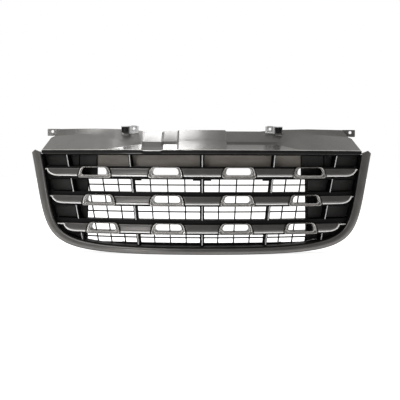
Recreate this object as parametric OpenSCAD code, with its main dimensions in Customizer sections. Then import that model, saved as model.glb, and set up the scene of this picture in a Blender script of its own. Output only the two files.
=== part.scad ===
// Front grille of a large car: a painted surround and three bars of painted blades on a black carrier,
// with a mesh behind, closing panels at the ends and a shut panel on top.
// X runs across the car, -Y is the front, Z is up. The origin is the middle of the footprint,
// at the height of the lowest edge.

/* [Overall] */
// Width over the top ends of the surround
grille_w = 1112; // [930:1:1340]
// Height from the lowest edge to the top corners of the surround
opening_h = 318; // [290:1:382]
// Radius of the bulge, seen from above
plan_r = 1250; // [1040:5:1500]
// Backward lean of the face in degrees
rake = 7; // [0:0.5:10]

/* [Surround] */
// Width of the painted face at the sides
face_side = 31; // [26:0.5:38]
// Width of the painted face at the bottom middle
face_bottom = 19.5; // [16:0.5:26]
// Depth of the outer wall
surround_depth = 38; // [30:1:46]
// Wall thickness of the mouldings
wall = 3; // [2.2:0.1:3.6]
// How far the straight side leans in over its handle length
side_lean = 76; // [60:1:92]

/* [Bars] */
// Height of a bar
bar_h = 25.5; // [20:0.5:30]
// Top corners of the surround down to the middle of the upper bar
top_gap = 67; // [55:0.5:78]
// Lowest edge up to the middle of the lower bar
bottom_gap = 77.5; // [70:0.5:94]
// Height of the lip along the bottom of a bar
lip_h = 4.8; // [2:0.1:6]
// Length over which a bar's end tapers to its tip
tip_taper = 45; // [30:1:60]

/* [Slots] */
// Width of a slot bezel along its bottom
slot_w = 111; // [92:1:133]
// Height of a slot bezel
slot_h = 35; // [29:0.5:40]
// How much narrower a bezel is at its top, each side
slot_taper = 9; // [3:0.5:14]
// Depth of the tunnel behind a bezel's face
tunnel_depth = 58; // [45:1:60]

/* [Mesh] */
// Thickness of a mesh strand, seen from the front
strand = 4; // [2:0.1:5]
// Front to back depth of the mesh
mesh_depth = 5; // [3:0.5:8]
// Mesh columns in each bay
mesh_columns = 4; // [2:1:6]

/* [Shut panel] */
// Front to back depth of the shut panel
panel_depth = 112; // [90:1:130]
// Height of the rear edge above the surround's top corners
panel_rise = 74; // [62:1:88]
// Half width of the middle pad
pad_half = 74; // [60:1:90]
// Skin thickness of the shut panel
skin = 2.6; // [2:0.1:3.2]

/* [Fixings] */
// Middle of the car to the outer bolt hole
outer_hole_x = 506; // [420:1:620]
// Middle of the car to the inner bolt hole
inner_hole_x = 221; // [205:1:236]
// Radius of the outer bolt holes
outer_hole_r = 5; // [3.5:0.1:6]
// Radius of the inner bolt holes
inner_hole_r = 4.5; // [3:0.1:5.5]
// Middle of the car to the lower lug's hole
lower_hole_x = 250; // [200:1:300]
// Radius of the lower lug's hole
lower_hole_r = 3.3; // [2.5:0.1:4]
// Shank radius of the fixing screws
screw_r = 1.7; // [1.4:0.05:2.2]

/* [Hidden] */
BAR_NAMES = ["upper", "middle", "lower"];

fine = 256;          // facets of the large plan curves
round_fn = 32;       // facets of the small round details
rim_steps = 36;      // steps along half of the surround's outline
corner_steps = 5;    // steps in a rounded corner of a slot
gap = 0.4;           // clearance between pieces that sit in one another
slot_gap = 3;        // clearance round a bezel, which shows as a dark outline
rake_t = tan(rake);
half_w = grille_w / 2;
corner_reach = half_w - 11; // handle that shapes the lower corner
// half angle of the curved sections, in whole degrees, a little past the ends
sweep_half = ceil(asin(half_w / (plan_r - panel_depth - rake_t * (opening_h + panel_rise))) + 5);
front_y0 = -60;      // extrusions along Y start ahead of the face
front_y1 = 420;      // and end behind everything

// Depths behind the face, front to back
lip_d = 4.5;
bar_d = 10.5;
bar_back_d = 20;
web_d = bar_back_d;
rim_web_d = web_d + 0.3;       // carrier flange behind the surround
rib_web_d = 50;                // the wider rear part of a rib
carrier_d = 62;
insert_d = carrier_d + 0.5;
bezel_d = 2;         // collar of a bezel
flange_d = 4;        // its outer flange

// Ribs fan out upwards: base offset at the lowest edge and lean
outer_rib_base = half_w - 187.7;
outer_rib_lean = 0.217;
inner_rib_share = 0.526;
rib_t = 5;
rib_web_w = 14;

function rib_x(k, z) = k == 0 ? 0 : sign(k) * (outer_rib_base + outer_rib_lean * z)
    * (abs(k) == 2 ? 1 : inner_rib_share);

// Bars from the top down
bar_pitch = (opening_h - top_gap - bottom_gap) / 2;
function bar_z(i) = opening_h - top_gap - i * bar_pitch;
slot_low = slot_h / 2;        // part of a bezel's height below the bar's middle
louvre_up = [0.75, 7.75, 9.75];   // how far the black louvre stands above the slots of each bar
louvre_down = [4.25, 1.25, 1.25]; // and below them
rail_top = opening_h - 9;     // top of the carrier
function louvre_low(i) = bar_z(i) - slot_low - louvre_down[i];
function louvre_high(i) = bar_z(i) + slot_h - slot_low + louvre_up[i];
mesh_top = louvre_low(0) + 4;
mesh_bottom = face_bottom + 4;
mesh_band = 7;

// Slots: one to four from left to right
inner_slot_share = 0.513;
outer_slot_share = 0.583;
SLOT_SIDES = [-2, -1, 1, 2];
function slot_x(i, n) = let (s = SLOT_SIDES[n], a = rib_x(1, bar_z(i)), b = rib_x(2, bar_z(i)))
    sign(s) * (abs(s) == 1 ? a * inner_slot_share : a + (b - a) * outer_slot_share);
hole_side = 12;               // bezel face width at the sides of the hole
hole_low = 9;                 // below the hole
hole_top = 3.2;               // above it
collar = 2.6;                 // width of the raised collar round the hole
tunnel_wall = 2.4;

// Closing panels: inner edges beside the outer ribs, further in above the upper row of mesh
LEFT = -1;
RIGHT = 1;
panel_edge = [outer_rib_base + 2, outer_rib_base - 32];
panel_step = [35, 18];
function edge_x(side) = panel_edge[side == LEFT ? 0 : 1];
function step_x(side) = edge_x(side) - panel_step[side == LEFT ? 0 : 1];

// Fixings
nut_t = 1;
tab_t = 3;
pad_r = 5.5;
head_r = 3.6;
head_h = 2.4;
screw_len = 12;
pilot_r = screw_r + 0.05;
lug_w = 28;
lug_reach = 26;
tab_w = 44;
tab_h = 24;
inner_tab_w = 32;
pocket_w = 25;
inner_tab_z = opening_h + 82;
outer_tab_z = opening_h + 76;
tab_root = 8;
tab_hole_drop = 9;

// ---- Shapes of the plan curve --------------------------------------------------------------

// Y of the surface that lies d behind the face, at x and z
function surf_y(x, z, d) = plan_r - sqrt(pow(plan_r - d - rake_t * z, 2) - x * x);

outer_tab_y = surf_y(outer_hole_x, outer_tab_z, panel_depth - 4);
inner_tab_y = surf_y(inner_hole_x, inner_tab_z, panel_depth - 14);
origin_y = (outer_tab_y + tab_t / 2) / 2;

// Turns depth and height points into a curved solid; children is a 2D shape of [radius, z]
module sweep() {
    translate([0, plan_r, 0])
        rotate([0, 0, -90 - sweep_half])
            rotate_extrude(angle = 2 * sweep_half, $fn = fine)
                children();
}

function to_radius(points) = [for (p = points) [plan_r - p[0] - rake_t * p[1], p[1]]];

module curved(points) {
    sweep() polygon(to_radius(points));
}

module slab(d0, d1, z0 = -10, z1 = 420) {
    curved([[d0, z0], [d1, z0], [d1, z1], [d0, z1]]);
}

// Extrudes a front-view outline from front to back
module front() {
    translate([0, front_y1, 0])
        rotate([90, 0, 0])
            linear_extrude(front_y1 - front_y0)
                children();
}

module along_y(x, z, y0, y1, r, fn = round_fn) {
    translate([x, y1, z]) rotate([90, 0, 0]) cylinder(h = y1 - y0, r = r, $fn = fn);
}

// ---- Outline of the surround ---------------------------------------------------------------

RIM = [[half_w, opening_h], [half_w - side_lean, 0], [corner_reach, 0], [0, 0]];

function bezier(p, t) = pow(1 - t, 3) * p[0] + 3 * pow(1 - t, 2) * t * p[1]
    + 3 * (1 - t) * t * t * p[2] + pow(t, 3) * p[3];
function bezier_dir(p, t) = pow(1 - t, 2) * (p[1] - p[0]) + 2 * (1 - t) * t * (p[2] - p[1])
    + t * t * (p[3] - p[2]);
function unit(v) = v / norm(v);

// Width of the painted face, wide at the sides and slim at the bottom
function face_w(t) = face_bottom + (face_side - face_bottom) * (1 + cos(180 * t)) / 2;

// A point of the right half: share of the face's width, plus an extra offset inwards
function rim_point(t, share, extra) = let (v = unit(bezier_dir(RIM, t)))
    bezier(RIM, t) + (share * face_w(t) + extra) * [v[1], -v[0]];
function rim_half(share, extra) = [for (i = [0:rim_steps]) rim_point(i / rim_steps, share, extra)];
function mirrored(points) = [for (i = [len(points) - 1:-1:0]) [-points[i][0], points[i][1]]];

// The region inside the outline, carried straight up above the top corners
module inside(share, extra, up = 60) {
    half = rim_half(share, extra);
    start = [[half[0][0], opening_h + up]];
    polygon(concat(start, half, mirrored([for (i = [0:rim_steps - 1]) half[i]]), mirrored(start)));
}

module band(share0, extra0, share1, extra1) {
    difference() {
        inside(share0, extra0, 20);
        inside(share1, extra1, 60);
    }
}

// Half width of the opening at a height
INNER_TABLE = [for (i = [rim_steps:-1:0]) let (p = rim_point(i / rim_steps, 1, 0)) [p[1], p[0]]];
function opening_half(z) = lookup(z, INNER_TABLE);

// Height of the opening's floor at an x
FLOOR_TABLE = [for (i = [rim_steps:-1:rim_steps / 3]) rim_point(i / rim_steps, 1, 0)];
function opening_floor(x) = lookup(x, FLOOR_TABLE);

// ---- Outline of a slot ---------------------------------------------------------------------

function corner(a, b, c, r) = let (
        u = unit(a - b), v = unit(c - b), half = acos(u * v) / 2,
        centre = b + unit(u + v) * r / sin(half),
        s = b + u * r / tan(half) - centre, e = b + v * r / tan(half) - centre,
        a0 = atan2(s[1], s[0]), turn = atan2(s[0] * e[1] - s[1] * e[0], s * e))
    [for (i = [0:corner_steps]) let (q = a0 + turn * i / corner_steps) centre + r * [cos(q), sin(q)]];

function rounded(points, radii) = let (n = len(points))
    [for (i = [0:n - 1]) each corner(points[(i + n - 1) % n], points[i], points[(i + 1) % n], radii[i])];

// A loaf shape around the bar's middle, grown by e
function loaf(low, high, half_low, half_high, r_low, r_high, e) = let (
        m = (half_low - half_high) / (high + low), k = sqrt(1 + m * m))
    rounded([[-(half_low + e * (k + m)), -low - e], [half_low + e * (k + m), -low - e],
             [half_high + e * (k - m), high + e], [-(half_high + e * (k - m)), high + e]],
            [r_low + e, r_low + e, r_high + e, r_high + e]);

module bezel_outline(e = 0) {
    polygon(loaf(slot_low, slot_h - slot_low, slot_w / 2, slot_w / 2 - slot_taper, 7, 17, e));
}

module hole_outline(e = 0) {
    polygon(loaf(slot_low - hole_low, slot_h - slot_low - hole_top, slot_w / 2 - hole_side,
                 slot_w / 2 - hole_side - slot_taper * 0.75, 8, 10, e));
}

module at_slots(i) {
    for (n = [0:3]) translate([slot_x(i, n), bar_z(i)]) children();
}

// ---- Screws --------------------------------------------------------------------------------

// Fixing points as [x, z, depth of the face that the head bears on]. Blades are screwed on at both
// sides of the rib that they cross, and outside the outer ribs.
BAR_FIX = [for (i = [0:2]) for (k = [[-2, -1], [-1, -1], [-1, 1], [0, -1], [0, 1], [1, -1], [1, 1], [2, 1]])
    [rib_x(k[0], bar_z(i)) + k[1] * (rib_web_w / 2 + pad_r + 2.5), bar_z(i), web_d + wall]];
function bar_fixes(i) = [for (f = BAR_FIX) if (f[1] == bar_z(i)) f];
RIM_T = [0.1, 0.25, 0.42, 0.6, 0.8];
RIM_FIX = [for (t = RIM_T) for (s = [-1, 1]) let (p = rim_point(t, 0.5, 0)) [s * p[0], p[1], web_d + wall]];
MESH_FIX = [for (i = [1, 2]) for (k = [-1, 0, 1]) [rib_x(k, bar_z(i)), bar_z(i), insert_d + mesh_depth]];
PLATE_FIX = [for (k = [-1, 0, 1]) [rib_x(k, bar_z(0)), bar_z(0), insert_d + 2.5]];
PANEL_FIX = [for (i = [0:2]) for (s = [-1, 1]) [s * rib_x(2, bar_z(i)), bar_z(i), insert_d + 2.5]];
SHUT_FIX = [for (x = [rib_x(1, rail_top) - 22, rib_x(2, rail_top) - 22]) for (s = [-1, 1]) s * x];
shut_fix_d = 40;

seat_rise = 2.2; // flat seats stand this far behind a curved face
function seat_y(f) = surf_y(f[0], f[1], f[2]) + seat_rise;

// Flat seats for screw heads on the rear of a curved wall whose front lies at front_d
module seats(fixes, front_d, depth = 4) {
    intersection() {
        for (f = fixes) along_y(f[0], f[1], seat_y(f) - seat_rise - depth, seat_y(f), pad_r);
        slab(front_d + 0.7, front_d + 30);
    }
}

module fix_holes(fixes, r, depth = 30) {
    for (f = fixes) along_y(f[0], f[1], seat_y(f) - depth, seat_y(f) + 10, r);
}

module screw() {
    difference() {
        union() {
            cylinder(h = head_h, r = head_r, $fn = round_fn);
            translate([0, 0, -screw_len]) cylinder(h = screw_len + 0.5, r = screw_r, $fn = round_fn);
        }
        translate([0, 0, head_h - 1.4]) cylinder(h = 2, r = 1.5, $fn = 6);
    }
}

module screws(fixes) {
    color("dimgray")
        for (f = fixes) translate([f[0], seat_y(f), f[1]]) rotate([-90, 0, 0]) screw();
}

// ---- Surround ------------------------------------------------------------------------------

module gable() {
    top = opening_h + 4;
    right = [[half_w + 30, -20], [half_w + 8, top - 16], [half_w - 14, top], [half_w - 40, top - 10]];
    polygon(concat(right, mirrored(right)));
}

module surround() {
    color("dimgray") intersection() {
        union() {
            difference() {
                intersection() { front() band(0, 0, 1, 0); slab(0, surround_depth); }
                intersection() { front() band(0, wall, 1, -wall); slab(wall, 60); }
                intersection() { front() band(1, -wall - 1, 1, 2); slab(16, 60); }
            }
            intersection() {
                difference() {
                    for (f = RIM_FIX) along_y(f[0], f[1], seat_y(f) - 50, seat_y(f), 4.2);
                    fix_holes(RIM_FIX, pilot_r, 16);
                }
                slab(wall - 1, web_d - 0.2);
            }
        }
        front() gable();
    }
}

// ---- Carrier frame -------------------------------------------------------------------------

module rib_shape(k, t) {
    z0 = 8;
    z1 = opening_h;
    polygon([[rib_x(k, z0) - t / 2, z0], [rib_x(k, z0) + t / 2, z0],
             [rib_x(k, z1) + t / 2, z1], [rib_x(k, z1) - t / 2, z1]]);
}

module ribs(t) {
    for (k = [-2:2]) rib_shape(k, t);
}

// The space that the ribs take, from d0 to d1
module rib_bodies(d0, d1) {
    intersection() {
        front() ribs(rib_t);
        slab(d0, rib_web_d + 4, 0, rail_top);
    }
    intersection() {
        front() ribs(rib_web_w);
        slab(rib_web_d, d1, 0, rail_top);
    }
}

// Upright blades from the rim's floor to the top rail, wider at the rear, where the mesh is screwed on
module carrier_ribs() {
    color("black") difference() {
        intersection() {
            rib_bodies(web_d, carrier_d);
            front() inside(1, gap + wall);
            translate([-half_w, front_y0, 0]) cube([2 * half_w, 500, rail_lip_z]);
        }
        fix_holes(concat(MESH_FIX, PLATE_FIX, PANEL_FIX), pilot_r, 18);
    }
}

// A channel behind a bar, open to the rear, in stretches between the ribs and out to the rim
module louvre(i) {
    low = louvre_low(i);
    high = louvre_high(i);
    color("black") difference() {
        union() {
            intersection() {
                front() inside(1, gap + wall);
                curved([[web_d, low], [carrier_d, low], [carrier_d, low + wall], [web_d + wall, low + wall],
                        [web_d + wall, high - wall], [carrier_d, high - wall], [carrier_d, high], [web_d, high]]);
            }
            seats(bar_fixes(i), web_d);
        }
        rib_bodies(web_d - 5, carrier_d + 5);
        front() at_slots(i) hole_outline(tunnel_wall + gap);
        fix_holes(bar_fixes(i), screw_r + 0.3);
    }
}

module upper_louvre() { louvre(0); }
module middle_louvre() { louvre(1); }
module lower_louvre() { louvre(2); }

rail_lip_z = rail_top - 4.5;

module top_rail() {
    curved([[web_d, rail_lip_z], [web_d + wall, rail_lip_z], [web_d + wall, rail_top - wall],
            [carrier_d, rail_top - wall], [carrier_d, rail_top], [web_d, rail_top]]);
}

lug_z = opening_floor(lower_hole_x) + gap + 0.2;
lug_end_y = surf_y(lower_hole_x, lug_z, carrier_d) + lug_reach;
lug_y = lug_end_y - 9;

module lower_lugs() {
    for (s = [-1, 1]) translate([s * lower_hole_x - lug_w / 2, lug_end_y - lug_reach - 18, lug_z])
        cube([lug_w, lug_reach + 18, wall]);
}

function shut_fix_y(x) = surf_y(x, rail_top, shut_fix_d);

module carrier_frame() {
    color("black") difference() {
        union() {
            intersection() {
                front() band(0, wall + gap, 1, 2);
                slab(rim_web_d, rim_web_d + wall, -10, rail_top);
            }
            intersection() {
                front() band(1, gap, 1, gap + wall);
                slab(10, carrier_d + 4, -10, rail_top);
            }
            intersection() {
                front() inside(1, 2);
                top_rail();
            }
            seats(RIM_FIX, rim_web_d);
            lower_lugs();
        }
        fix_holes(RIM_FIX, screw_r + 0.3);
        for (s = [-1, 1]) translate([s * lower_hole_x, lug_y, 0])
            cylinder(h = 60, r = lower_hole_r, $fn = round_fn);
        for (x = SHUT_FIX) translate([x, shut_fix_y(x), rail_top - 10])
            cylinder(h = 20, r = screw_r + 0.3, $fn = round_fn);
    }
}

// ---- Mesh, blanking plate and closing panels -----------------------------------------------

function strand_x(c, z) = let (bay = floor((abs(c) - 0.001) / mesh_columns), u = abs(c) / mesh_columns - bay)
    sign(c) * (rib_x(bay, z) + (rib_x(bay + 1, z) - rib_x(bay, z)) * u);

module strand_shape(c) {
    z0 = 8;
    z1 = mesh_top;
    polygon([[strand_x(c, z0) - strand / 2, z0], [strand_x(c, z0) + strand / 2, z0],
             [strand_x(c, z1) + strand / 2, z1], [strand_x(c, z1) - strand / 2, z1]]);
}

// Rows of strands: one across each open row, and one along each edge that a louvre hides
STRAND_ROWS = concat(
    [for (i = [0:2]) (louvre_low(i) + (i < 2 ? louvre_high(i + 1) : mesh_bottom + mesh_band)) / 2 + 1.5],
    [for (i = [0:2]) louvre_low(i) + 2], [for (i = [1, 2]) louvre_high(i) - 2]);
// Clip lugs hang from the mesh's top edge beside the ribs: [rib, from, to]
LUGS = [[-1, 6.5, 28], [0, -29, -7], [0, 7, 29], [1, -28, -6.5]];
lug_drop = 9;
mesh_w = edge_x(LEFT) + edge_x(RIGHT);

module mesh_insert() {
    color("black") difference() {
        union() {
            intersection() {
                front() intersection() {
                    inside(1, gap + wall + 0.3);
                    union() {
                        for (c = [-2 * mesh_columns + 1:2 * mesh_columns - 1])
                            if (c % mesh_columns != 0) strand_shape(c);
                        for (z = STRAND_ROWS)
                            translate([-edge_x(LEFT), z - strand / 2]) square([mesh_w, strand]);
                        intersection() {
                            ribs(rib_web_w - 1);
                            translate([-half_w, 0]) square([2 * half_w, mesh_top]);
                        }
                        translate([-edge_x(LEFT), 0]) square([mesh_w, mesh_bottom + mesh_band]);
                        translate([-edge_x(LEFT), 0]) square([strand, mesh_top]);
                        translate([edge_x(RIGHT) - strand, 0]) square([strand, mesh_top]);
                        for (l = LUGS) translate([rib_x(l[0], mesh_top) + l[1], mesh_top - lug_drop])
                            square([l[2] - l[1], lug_drop]);
                    }
                    translate([-edge_x(LEFT) + gap, 0])
                        square([mesh_w - 2 * gap, mesh_top]);
                }
                slab(insert_d, insert_d + mesh_depth);
            }
            seats(MESH_FIX, insert_d);
        }
        fix_holes(MESH_FIX, screw_r + 0.3);
    }
}

plate_low = louvre_high(0) - 4;
plate_tab_low = bar_z(0) - 8;
plate_w = step_x(LEFT) + step_x(RIGHT) - 2 * gap;

module blanking_plate() {
    color("dimgray") difference() {
        union() {
            intersection() {
                front() union() {
                    translate([-step_x(LEFT) + gap, plate_low])
                        square([plate_w, rail_top - 1 - plate_low]);
                    for (f = PLATE_FIX) translate([f[0] - 9, plate_tab_low])
                        square([18, plate_low - plate_tab_low + 1]);
                }
                slab(insert_d, insert_d + 2.5);
            }
            // a stiffening ledge along the bottom, between the ribs
            intersection() {
                difference() {
                    front() translate([-step_x(LEFT) + gap, plate_low + 4.2])
                        square([plate_w, 2]);
                    front() ribs(rib_web_w + 1);
                }
                slab(insert_d - 9, insert_d + 1);
            }
            seats(PLATE_FIX, insert_d);
        }
        fix_holes(PLATE_FIX, screw_r + 0.3);
    }
}

// Open heights between the louvres, from the top down
ROWS = [[louvre_high(0) + 2, rail_top - 5], [louvre_high(1) + 3, louvre_low(0) - 3],
        [louvre_high(2) + 3, louvre_low(1) - 3], [mesh_bottom + 6, louvre_low(2) - 3]];

module wedge(side, from, to, z0, z1, inset = 0) {
    s = side;
    polygon([[s * (from[0] + inset), z0 + inset], [s * (to[0] - inset), z0 + inset],
             [s * (to[1] - inset), z1 - inset], [s * (from[1] + inset), z1 - inset]]);
}

// Pads of one side as [slanting inner edge, slanting outer edge, row, depth of the front]
function beside_rib(row, off) = [for (z = row) rib_x(2, z) + off];
function panel_start(side, r) = (r == 0 ? step_x(side) : edge_x(side)) + 4;
function pads(side) = [for (r = [0:len(ROWS) - 1]) let (
        row = ROWS[r], start = panel_start(side, r), rib = beside_rib(row, -rib_web_w / 2 - 2),
        split = outer_rib_base + 26)
    each concat(
        [[beside_rib(row, rib_web_w / 2 + 2), [half_w, half_w], row, 46]],
        r == 0 ? [[[start, start], [split, split], row, 56], [[split + 4, split + 4], rib, row, 54]] : [],
        r > 0 && rib[0] - start > 30 ? [[[start, start], rib, row, 54]] : [])];

module pad_outline(side, pad, inset = 0) {
    intersection() {
        wedge(side, pad[0], pad[1], pad[2][0], pad[2][1], inset);
        inside(1, gap + wall + 2.5 + inset);
    }
}

module closing_panel(side) {
    color("black") difference() {
        union() {
            intersection() {
                front() intersection() {
                    inside(1, gap + wall + 0.6);
                    union() {
                        wedge(side, [edge_x(side), edge_x(side)], [half_w, half_w], 0, mesh_top + 2);
                        wedge(side, [step_x(side), step_x(side)], [half_w, half_w], mesh_top + gap, rail_top - 1);
                    }
                }
                slab(insert_d, insert_d + 2.5);
            }
            for (p = pads(side)) intersection() { front() pad_outline(side, p); slab(p[3], insert_d + 1); }
            seats([for (f = PANEL_FIX) if (f[0] * side > 0) f], insert_d);
        }
        for (p = pads(side)) intersection() {
            front() pad_outline(side, p, 2.4);
            slab(p[3] + 2.4, insert_d + 40);
        }
        fix_holes(PANEL_FIX, screw_r + 0.3);
    }
}

module left_closing_panel() { closing_panel(LEFT); }
module right_closing_panel() { closing_panel(RIGHT); }

// ---- Blades and bezels -----------------------------------------------------------------------

module bar_section(i) {
    h = bar_h / 2;
    z = bar_z(i);
    curved([[bar_d, z + h], [8, z - h + lip_h + 1.6], [lip_d, z - h + lip_h], [lip_d, z - h],
            [bar_back_d, z - h], [bar_back_d, z - h + 2.5], [12, z - h + 2.5], [11, z - h + lip_h + 2.4],
            [13, z + h - 2.5], [bar_back_d, z + h - 2.5], [bar_back_d, z + h]]);
}

function bar_tip(i) = opening_half(bar_z(i) - bar_h / 2) - 5;
function peg_tip(i) = opening_half(bar_z(i) + bar_h / 2) - 5;
peg_drop = 1.5;
peg_h = 4;

module bar_outline(i) {
    h = bar_h / 2;
    tip = bar_tip(i);
    curve = [[tip, bar_z(i) + h - 2.5], [tip - 6, bar_z(i) - h * 0.5],
             [tip - 20, bar_z(i) - h - 0.1], [tip - tip_taper, bar_z(i) - h - 0.1]];
    right = concat([[tip, bar_z(i) + h + 1]], [for (s = [0:8]) bezier(curve, s / 8)]);
    polygon(concat(right, mirrored(right)));
}

// A small peg that locates a tip in the carrier
module bar_peg(i, s) {
    z = bar_z(i) + bar_h / 2 - peg_drop - peg_h;
    translate([s > 0 ? bar_tip(i) - 8 : -peg_tip(i), z])
        square([peg_tip(i) - bar_tip(i) + 8, peg_h]);
}

// A bar is five blades that end at the bezels, numbered from left to right
function blade_start(i, n) = n == 0 ? -half_w : slot_x(i, n - 1);
function blade_end(i, n) = n == 4 ? half_w : slot_x(i, n);

module bar_blade(i, n) {
    x0 = blade_start(i, n);
    x1 = blade_end(i, n);
    fixes = [for (f = bar_fixes(i)) if (f[0] > x0 && f[0] < x1) f];
    color("gray") difference() {
        union() {
            intersection() {
                bar_section(i);
                front() intersection() {
                    bar_outline(i);
                    translate([x0, 0]) square([x1 - x0, opening_h]);
                }
            }
            intersection() {
                for (f = fixes) along_y(f[0], f[1], seat_y(f) - 30, seat_y(f), 4.2);
                slab(bar_d + 1, bar_back_d);
            }
            if (n == 0 || n == 4)
                intersection() { front() bar_peg(i, n == 0 ? LEFT : RIGHT); slab(bar_d + 0.5, bar_back_d); }
        }
        front() at_slots(i) bezel_outline(slot_gap);
        fix_holes(fixes, pilot_r, 13);
    }
}

// A hollow bezel that stands on the louvre's web, with a tunnel through it, held by two snap tabs
bezel_wall = 2.4;
bezel_back_d = flange_d + 3;
module slot_bezel(i, n) {
    x = slot_x(i, n);
    z = bar_z(i);
    color("silver") difference() {
        union() {
            difference() {
                intersection() { front() translate([x, z]) bezel_outline(); slab(flange_d, web_d - 0.2); }
                intersection() { front() translate([x, z]) bezel_outline(-bezel_wall); slab(bezel_back_d, web_d + 5); }
            }
            intersection() { front() translate([x, z]) hole_outline(collar); slab(bezel_d, flange_d + 1); }
            intersection() {
                front() translate([x, z]) hole_outline(tunnel_wall);
                slab(flange_d + 1.5, bezel_d + tunnel_depth);
            }
            for (s = [-1, 1]) snap_tab(x + s * 20, z - slot_low + hole_low - tunnel_wall + 0.5);
        }
        front() translate([x, z]) hole_outline();
    }
}

module snap_tab(x, z) {
    y = surf_y(x, z, web_d + wall) + 1.8;
    translate([x - 5, y, z - 2.2]) cube([10, 5, 2.2]);
}

// ---- Shut panel ----------------------------------------------------------------------------

panel_half = opening_half(rail_top) - 2;      // half width along the front edge
notch = [-191, -183, -130, -122];             // catch lever recess, left of the middle
front_z = opening_h + 2.5;
line_z = front_z + 2;

// A section runs from the lip (A, B, C) up the front facet to D, across the main face to E and F,
// and up the rear band to G. Depths are behind the face, heights above line_z.
// Tables are [distance from the middle, value].
rise_k = (panel_rise - 8) / 66;
pad_edge = pad_half + 5;
shelf_end = [195, 240];                       // where the flat front facet ends, left and right
crease_in = panel_half - 265;
crease_out = panel_half - 192;
facet_end = panel_half - 214;
function d_table(flat_end, pad, flat, out) = [[0, pad], [pad_half, pad], [pad_edge, flat], [flat_end, flat],
    [facet_end, out], [panel_half, out]];
function f_table(pad, flat, out, end) = [[0, pad], [pad_half, pad], [pad_edge, flat], [crease_in, flat],
    [crease_out, out], [panel_half, end]];
G_RISE = [[0, 64.5], [pad_half, 64.5], [pad_edge, 60.5], [190, 61], [240, 66.5], [350, 70.5], [panel_half, 70.5]];

function dip(x) = lookup(x, [[notch[0], 0], [notch[1], 1], [notch[2], 1], [notch[3], 0]]);

function section(x) = let (
        a = abs(x), n = dip(x), flat_end = shelf_end[x < 0 ? 0 : 1],
        d = [lookup(a, d_table(flat_end, 58, 56, 17)) - 20 * n,
             line_z + rise_k * lookup(a, d_table(flat_end, 28.5, 16.5, 1.2)) - 9 * n],
        f = [lookup(a, f_table(62, 62, 92, 92)), line_z + rise_k * lookup(a, f_table(31.5, 25.5, 54, 46.5))],
        g = [panel_depth, line_z + rise_k * lookup(a, G_RISE) - 4.5 * n])
    [[6, rail_top + 1.5 - 1.5 * n], [5.5, front_z - 3 * n], [14, line_z - 3 * n], d, d + 0.86 * (f - d), f, g];

// The ends lean in as they rise, so x depends on the height
END_LEAN = [[0, 0], [38, 11], [46, 27], [70, 42]];
lean_from = 350;
function lean_x(x, z) = let (share = max(0, abs(x) - lean_from) / (panel_half - lean_from))
    x - sign(x) * share * lookup(z - line_z, END_LEAN);

// The inner side of the skin: further back, lower, and further in at the sides of the middle pad
function inner_section(s) = let (last = len(s) - 1)
    [for (i = [last:-1:0]) s[i] + [i < last ? skin : 0, i > 0 ? -skin : 0]];
function inner_x(x) = abs(x) >= pad_half && abs(x) <= pad_edge ? x - sign(x) * skin * 0.8 : x;
function placed(x, p) = let (lx = lean_x(x, p[1])) [lx, surf_y(lx, p[1], p[0]), p[1]];
function ring(x) = let (s = section(x))
    concat([for (p = s) placed(x, p)], [for (p = inner_section(s)) placed(inner_x(x), p)]);

function even(a, b, n) = [for (i = [0:n - 1]) a + (b - a) * i / n];
function half_stations(flat_end) = concat(
    [25, 50, pad_half, pad_edge], even(100, 190, 3), [190, flat_end], even(crease_in, facet_end, 2),
    [facet_end, crease_out, lean_from], even(lean_from + 20, panel_half, 7), [panel_half]);
LEFT_STATIONS = [for (i = [len(half_stations(shelf_end[0])) - 1:-1:0]) -half_stations(shelf_end[0])[i]];
STATIONS = concat([for (x = LEFT_STATIONS) if (x < notch[0] - 2) x], notch,
                  [for (x = LEFT_STATIONS) if (x > notch[3] + 2) x], [0], half_stations(shelf_end[1]));

module panel_skin() {
    rings = [for (x = STATIONS) ring(x)];
    m = len(rings[0]);
    n = len(rings);
    sides = [for (i = [0:n - 2]) for (j = [0:m - 1]) let (k = (j + 1) % m)
        each [[i * m + j, i * m + k, (i + 1) * m + j], [i * m + k, (i + 1) * m + k, (i + 1) * m + j]]];
    near = [for (j = [0:m / 2 - 2]) let (a = j, b = j + 1, c = m - 2 - j, d = m - 1 - j)
        each [[a, d, b], [b, d, c]]];
    far = [for (f = near) [for (v = [f[2], f[1], f[0]]) v + (n - 1) * m]];
    polyhedron(points = [for (r = rings) each r], faces = concat(sides, near, far), convexity = 8);
}

module outer_tab(s) {
    x0 = outer_hole_x - tab_w / 2 - 5;
    translate([s > 0 ? x0 : -x0 - tab_w, outer_tab_y - tab_t / 2, outer_tab_z - tab_h])
        cube([tab_w, tab_t, tab_h]);
    // gusset that ties the tab to the panel's end
    translate([s > 0 ? x0 - 18 : -x0 - 22, outer_tab_y - 26, outer_tab_z - tab_h]) cube([40, 27, tab_t]);
}

module inner_tab(s) {
    x = s * inner_hole_x;
    translate([x - inner_tab_w / 2 + s, inner_tab_y - tab_t / 2, inner_tab_z - tab_h - tab_root])
        cube([inner_tab_w, tab_t, tab_h + tab_root]);
    // clip pocket beside the tab, open to the front
    outer = s > 0 ? x + inner_tab_w / 2 - 1 : x - inner_tab_w / 2 + 1 - pocket_w;
    translate([outer, inner_tab_y - 8, inner_tab_z - tab_h - tab_root]) difference() {
        cube([pocket_w, 14, tab_h + tab_root - 1]);
        translate([2, -1, tab_root + 2]) cube([pocket_w - 4, 12, tab_h - 5]);
    }
}

module tab_hole(x, y, z, r) {
    along_y(x, z - tab_hole_drop, y - 20, y + 20, r);
}

module panel_foot() {
    curved([[7, rail_top], [shut_fix_d + 8, rail_top], [shut_fix_d + 8, rail_top + skin], [7, rail_top + skin]]);
}

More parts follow.
